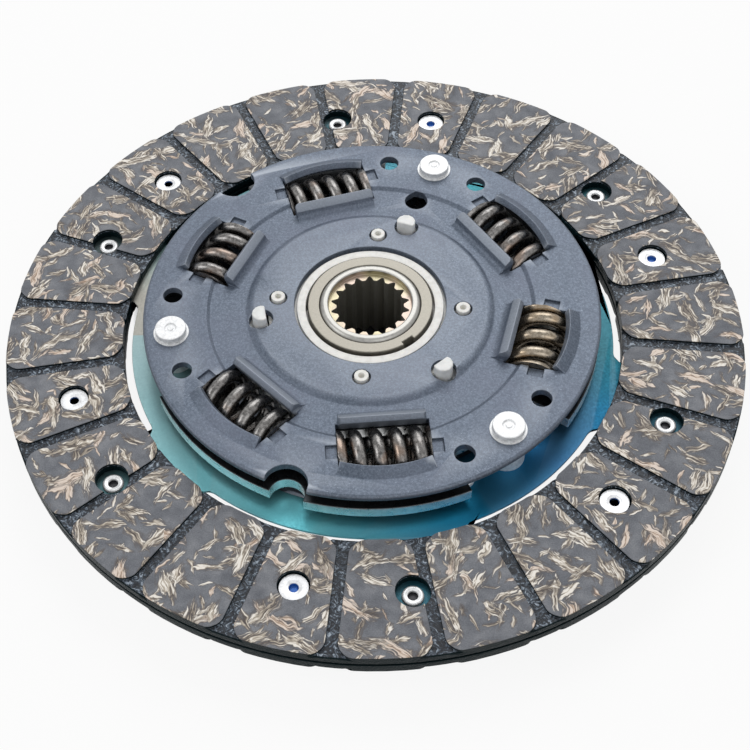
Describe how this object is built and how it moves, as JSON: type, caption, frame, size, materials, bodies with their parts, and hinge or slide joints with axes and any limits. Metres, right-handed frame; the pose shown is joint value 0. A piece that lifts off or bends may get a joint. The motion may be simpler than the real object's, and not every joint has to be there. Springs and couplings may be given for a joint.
{
  "type": "clutch disc",
  "caption": "Clutch disc with grooved friction facings on a cushion disc, a coil-spring torsion damper between riveted plates, and a splined hub that turns within stops.",
  "frame": {"origin": "on the disc's axis, at the hub's rear end, which the disc stands on", "axes": "+Z along the axis towards the front side, with the raised plate and the pegs; +X to the right as the front side is seen"},
  "size_m": [0.228, 0.228, 0.0298],
  "materials": {
    "friction_facing": "matt woven friction lining with short pale and tan fibres",
    "rivet": "bright plated",
    "blued_steel": "tempered blue-green spring steel",
    "zinc_pin": "white zinc plate",
    "plate_steel": "phosphated slate-blue sheet, worn bright on the lips",
    "spring_steel": "dark oiled spring wire",
    "bright_steel": "ground steel",
    "hub_steel": "dark oiled steel",
    "cream_nylon": "moulded nylon",
    "white_nylon": "moulded nylon",
    "friction_washer": "matt friction washer"
  },
  "bodies": {
    "disc": {"front_facing": "friction_facing", "rear_facing": "friction_facing", "front_facing_rivets": "rivet", "rear_facing_rivets": "rivet", "cushion_disc": "blued_steel", "cushion_disc_rivets": "zinc_pin", "front_retainer_plate": "plate_steel", "rear_retainer_plate": "plate_steel", "stop_pin_1": "zinc_pin", "stop_pin_2": "zinc_pin", "stop_pin_3": "zinc_pin", "damper_spring_1": "spring_steel", "damper_spring_2": "spring_steel", "damper_spring_3": "spring_steel", "damper_spring_4": "spring_steel", "damper_spring_5": "spring_steel", "damper_spring_6": "spring_steel", "front_bush": "cream_nylon", "front_friction_ring": "white_nylon", "rear_bush": "cream_nylon", "belleville_spring": "bright_steel", "thrust_washer": "bright_steel", "rear_friction_ring": "friction_washer"},
    "flange": {"hub_flange": "bright_steel", "predamper_spring_1": "spring_steel", "predamper_spring_2": "spring_steel"},
    "hub": {"hub": "hub_steel", "hub_guide_ring": "hub_steel"}
  },
  "joints": [
    {"name": "main_damper", "type": "hinge", "parent": "disc", "child": "flange", "pos_m": [0, 0, 0.0183], "axis": [0, 0, 1], "range_deg": [-10, 10], "stiffness_Nm_per_rad": 60, "deforming": ["damper_spring_1", "damper_spring_2", "damper_spring_3", "damper_spring_4", "damper_spring_5", "damper_spring_6"]},
    {"name": "pre_damper", "type": "hinge", "parent": "flange", "child": "hub", "pos_m": [0, 0, 0.0183], "axis": [0, 0, 1], "range_deg": [-4, 4], "stiffness_Nm_per_rad": 4, "deforming": ["predamper_spring_1", "predamper_spring_2"]}
  ]
}
